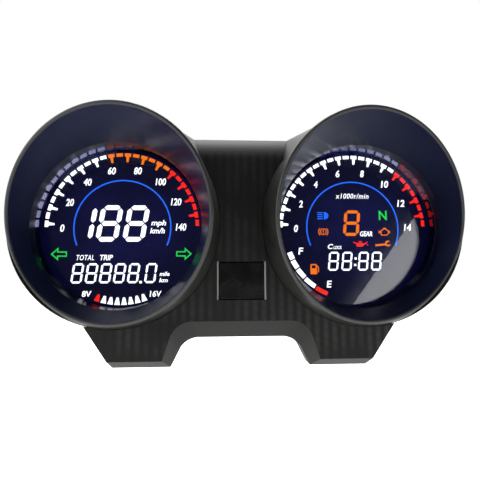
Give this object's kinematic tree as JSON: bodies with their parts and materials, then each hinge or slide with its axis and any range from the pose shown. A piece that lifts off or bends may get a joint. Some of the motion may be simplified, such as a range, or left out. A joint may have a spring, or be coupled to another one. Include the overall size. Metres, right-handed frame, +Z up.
{
  "type": "motorcycle instrument cluster",
  "caption": "Twin round digital displays in deep slanted hoods joined by a textured bridge with two legs, a push key, a rear harness socket and a speedometer cable neck.",
  "frame": {"origin": "midway between the two stay bolts, on the stay's face", "axes": "+X to the viewer's right, -Y towards the viewer (the rider), +Z up"},
  "size_m": [0.26, 0.1045, 0.1396],
  "materials": {
    "hood_plastic": "satin black moulded plastic",
    "fascia_plastic": "fine woven texture, soft sheen",
    "button_plastic": "smooth satin",
    "housing_plastic": "fine spark-eroded grain",
    "socket_plastic": "satin",
    "lens_plastic": "clear polished",
    "display_glass": "dark polished",
    "light_guide": "clear with a matt back",
    "holder_plastic": "white",
    "contact_rubber": "striped silicone",
    "seal_rubber": "matt",
    "membrane_rubber": "translucent silicone",
    "board_laminate": "green solder mask",
    "led_package": "white package",
    "chip_package": "moulded epoxy",
    "capacitor_sleeve": "shrink sleeve",
    "ribbon_plastic": "grey flat cable",
    "link_plastic": "natural nylon",
    "tinned_brass": "drawn",
    "plated_steel": "zinc plated",
    "neck_metal": "die cast",
    "spindle_steel": "ground",
    "magnet_ferrite": "sintered ferrite"
  },
  "bodies": {
    "case": {"left_hood": "hood_plastic", "right_hood": "hood_plastic", "fascia": "fascia_plastic", "rear_housing": "housing_plastic", "vent_plug": "housing_plastic", "harness_socket": "socket_plastic", "left_lens": "lens_plastic", "right_lens": "lens_plastic", "left_display_glass": "display_glass", "right_display_glass": "display_glass", "left_light_guide": "light_guide", "right_light_guide": "light_guide", "left_display_holder": "holder_plastic", "right_display_holder": "holder_plastic", "left_contact_strips": "contact_rubber", "right_contact_strips": "contact_rubber", "left_lens_gasket": "seal_rubber", "right_lens_gasket": "seal_rubber", "left_case_seal": "seal_rubber", "right_case_seal": "seal_rubber", "socket_seal": "seal_rubber", "stay_dampers": "seal_rubber", "button_membrane": "membrane_rubber", "left_board": "board_laminate", "right_board": "board_laminate", "button_board": "board_laminate", "left_backlight_leds": "led_package", "right_backlight_leds": "led_package", "controller_chip": "chip_package", "display_driver_chip": "chip_package", "speed_sensor": "chip_package", "voltage_regulator": "chip_package", "capacitors": "capacitor_sleeve", "board_link_ribbon": "ribbon_plastic", "button_ribbon": "ribbon_plastic", "link_sockets": "link_plastic", "harness_pins": "tinned_brass", "stay_inserts": "tinned_brass", "case_screws": "plated_steel", "fascia_screws": "plated_steel", "board_screws": "plated_steel", "neck_nut": "plated_steel", "cable_neck": "neck_metal"},
    "key": {"mode_button": "button_plastic"},
    "drive": {"drive_spindle": "spindle_steel", "spindle_magnet": "magnet_ferrite"}
  },
  "joints": [
    {"name": "key_press", "type": "slide", "parent": "case", "child": "key", "axis": [0, 1, 0], "range_m": [0, 0.0015], "stiffness_N_per_m": 900, "springref_m": -0.0005, "deforming": ["button_membrane"]},
    {"name": "spindle_spin", "type": "hinge", "parent": "case", "child": "drive", "pos_m": [-0.07, 0.021, 0.06], "axis": [0, 1, 0], "continuous": true}
  ]
}
